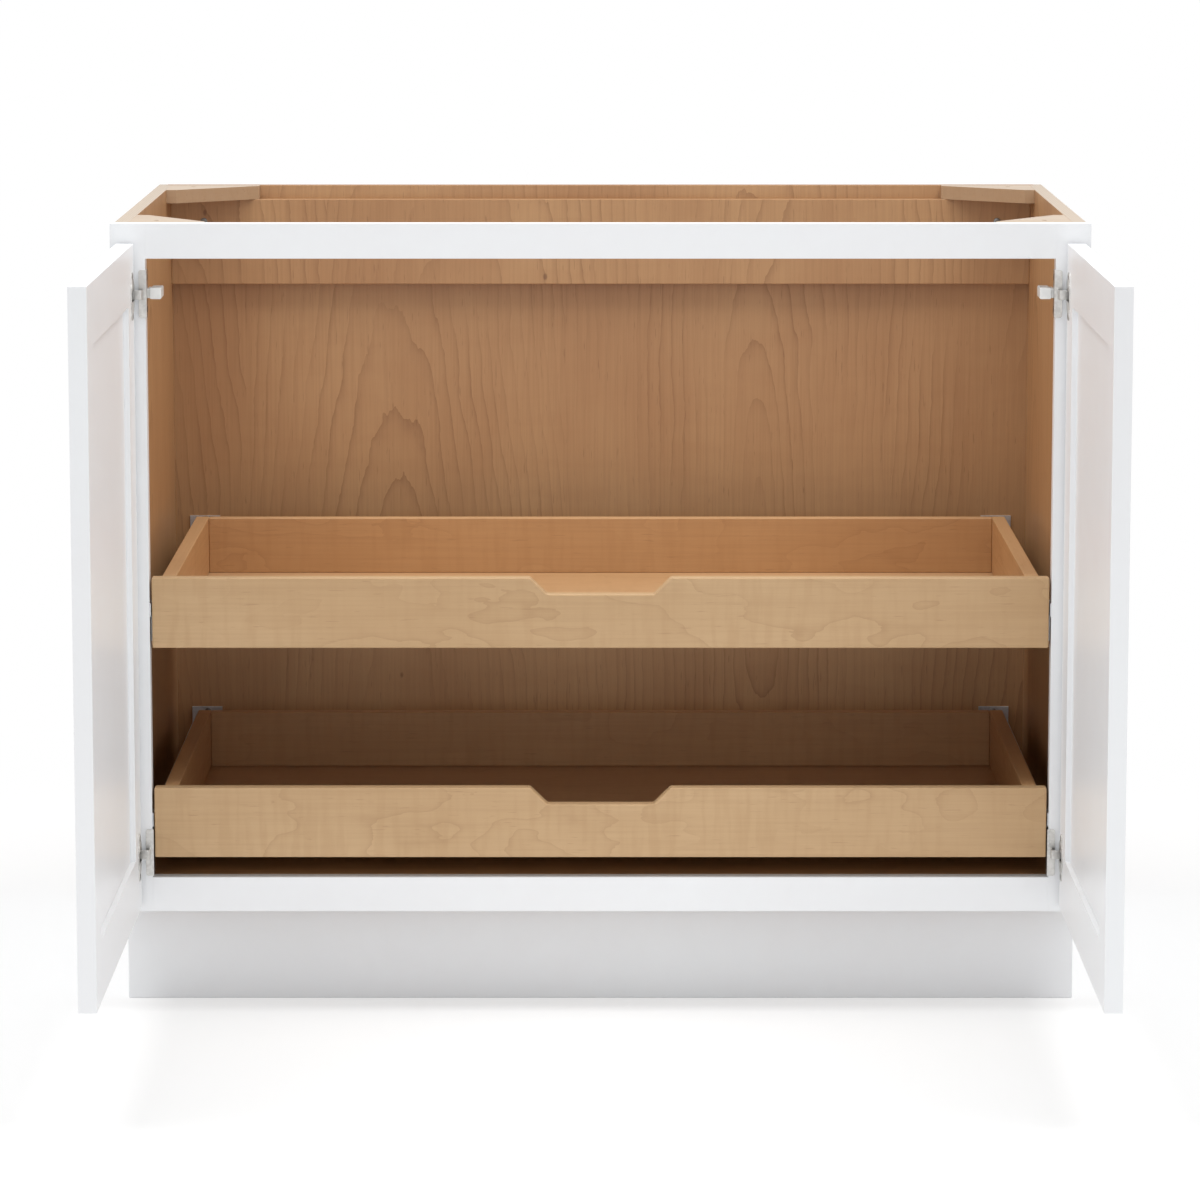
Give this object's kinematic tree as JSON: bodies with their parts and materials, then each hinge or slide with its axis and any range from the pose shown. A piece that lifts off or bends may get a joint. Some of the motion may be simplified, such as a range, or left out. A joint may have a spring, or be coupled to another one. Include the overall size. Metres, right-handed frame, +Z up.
{
  "type": "double door base cabinet",
  "caption": "White base cabinet with a face frame, paired shaker doors on cup hinges, an open top and scooped maple roll-out trays on side-mount slides.",
  "frame": {"origin": "on the floor, at the middle of the cabinet's width, on the plane of its back that stands against the wall", "axes": "+X to the right as seen from the front, +Y to the back towards the wall, +Z up"},
  "size_m": [1.0668, 1.136, 0.8763],
  "materials": {
    "white_paint": "satin white paint",
    "maple_plywood": "clear-coated maple veneer, painted white on the outside of the side panels",
    "tray_maple": "clear satin lacquer",
    "nickel_hinge": "nickel-plated pressed steel",
    "zinc_steel": "zinc-plated pressed steel",
    "bearing_steel": "polished",
    "white_plastic": "moulded white plastic",
    "lever_plastic": "moulded black plastic"
  },
  "bodies": {
    "cabinet": {"face_frame_top_rail": "white_paint", "face_frame_bottom_rail": "white_paint", "left_face_frame_stile": "white_paint", "right_face_frame_stile": "white_paint", "toe_kick_board": "white_paint", "left_side_panel": "maple_plywood", "right_side_panel": "maple_plywood", "back_panel": "maple_plywood", "bottom_deck": "maple_plywood", "hanging_rail": "maple_plywood", "corner_blocks": "maple_plywood", "left_lower_hinge_arm": "nickel_hinge", "left_upper_hinge_arm": "nickel_hinge", "right_lower_hinge_arm": "nickel_hinge", "right_upper_hinge_arm": "nickel_hinge", "left_soft_close_damper": "white_plastic", "right_soft_close_damper": "white_plastic", "lower_left_slide_cabinet_member": "zinc_steel", "lower_right_slide_cabinet_member": "zinc_steel", "upper_left_slide_cabinet_member": "zinc_steel", "upper_right_slide_cabinet_member": "zinc_steel", "slide_rear_brackets": "zinc_steel"},
    "left_door": {"left_door_hinge_stile": "white_paint", "left_door_free_stile": "white_paint", "left_door_top_rail": "white_paint", "left_door_bottom_rail": "white_paint", "left_door_panel": "white_paint", "left_lower_hinge_cup": "nickel_hinge", "left_upper_hinge_cup": "nickel_hinge"},
    "right_door": {"right_door_hinge_stile": "white_paint", "right_door_free_stile": "white_paint", "right_door_top_rail": "white_paint", "right_door_bottom_rail": "white_paint", "right_door_panel": "white_paint", "right_lower_hinge_cup": "nickel_hinge", "right_upper_hinge_cup": "nickel_hinge"},
    "upper_tray": {"upper_tray_front": "tray_maple", "upper_tray_left_side": "tray_maple", "upper_tray_right_side": "tray_maple", "upper_tray_back": "tray_maple", "upper_tray_bottom": "tray_maple", "upper_left_slide_tray_member": "zinc_steel", "upper_right_slide_tray_member": "zinc_steel"},
    "lower_tray": {"lower_tray_front": "tray_maple", "lower_tray_left_side": "tray_maple", "lower_tray_right_side": "tray_maple", "lower_tray_back": "tray_maple", "lower_tray_bottom": "tray_maple", "lower_left_slide_tray_member": "zinc_steel", "lower_right_slide_tray_member": "zinc_steel"},
    "upper_slide_middle": {"upper_slide_middle_members": "zinc_steel", "upper_slide_ball_cages": "bearing_steel"},
    "lower_slide_middle": {"lower_slide_middle_members": "zinc_steel", "lower_slide_ball_cages": "bearing_steel"},
    "lower_left_release_lever_body": {"lower_left_release_lever": "lever_plastic"},
    "lower_right_release_lever_body": {"lower_right_release_lever": "lever_plastic"},
    "upper_left_release_lever_body": {"upper_left_release_lever": "lever_plastic"},
    "upper_right_release_lever_body": {"upper_right_release_lever": "lever_plastic"}
  },
  "joints": [
    {"name": "left_door_hinge", "type": "hinge", "parent": "cabinet", "child": "left_door", "pos_m": [-0.5161, -0.6214, 0.4877], "axis": [0, 0, -1], "range_deg": [-90, 15]},
    {"name": "right_door_hinge", "type": "hinge", "parent": "cabinet", "child": "right_door", "pos_m": [0.5161, -0.6214, 0.4877], "axis": [0, 0, 1], "range_deg": [-90, 15]},
    {"name": "lower_tray_slide", "type": "slide", "parent": "cabinet", "child": "lower_tray", "axis": [0, -1, 0], "range_m": [0, 0.45]},
    {"name": "lower_middle_slide", "type": "slide", "parent": "cabinet", "child": "lower_slide_middle", "axis": [0, -1, 0], "range_m": [0, 0.225]},
    {"name": "lower_left_release_lever_turn", "type": "hinge", "parent": "lower_tray", "child": "lower_left_release_lever_body", "pos_m": [-0.4851, -0.4411, 0.2028], "axis": [1, 0, 0], "range_deg": [0, 7], "stiffness_Nm_per_rad": 0.02},
    {"name": "lower_right_release_lever_turn", "type": "hinge", "parent": "lower_tray", "child": "lower_right_release_lever_body", "pos_m": [0.4851, -0.4411, 0.2028], "axis": [1, 0, 0], "range_deg": [0, 7], "stiffness_Nm_per_rad": 0.02},
    {"name": "upper_tray_slide", "type": "slide", "parent": "cabinet", "child": "upper_tray", "axis": [0, -1, 0], "range_m": [0, 0.45]},
    {"name": "upper_middle_slide", "type": "slide", "parent": "cabinet", "child": "upper_slide_middle", "axis": [0, -1, 0], "range_m": [0, 0.225]},
    {"name": "upper_left_release_lever_turn", "type": "hinge", "parent": "upper_tray", "child": "upper_left_release_lever_body", "pos_m": [-0.4851, -0.4411, 0.4372], "axis": [1, 0, 0], "range_deg": [0, 7], "stiffness_Nm_per_rad": 0.02},
    {"name": "upper_right_release_lever_turn", "type": "hinge", "parent": "upper_tray", "child": "upper_right_release_lever_body", "pos_m": [0.4851, -0.4411, 0.4372], "axis": [1, 0, 0], "range_deg": [0, 7], "stiffness_Nm_per_rad": 0.02}
  ],
  "couplings": [
    {"joint": "lower_middle_slide", "follows": "lower_tray_slide", "ratio": 0.5},
    {"joint": "upper_middle_slide", "follows": "upper_tray_slide", "ratio": 0.5}
  ]
}
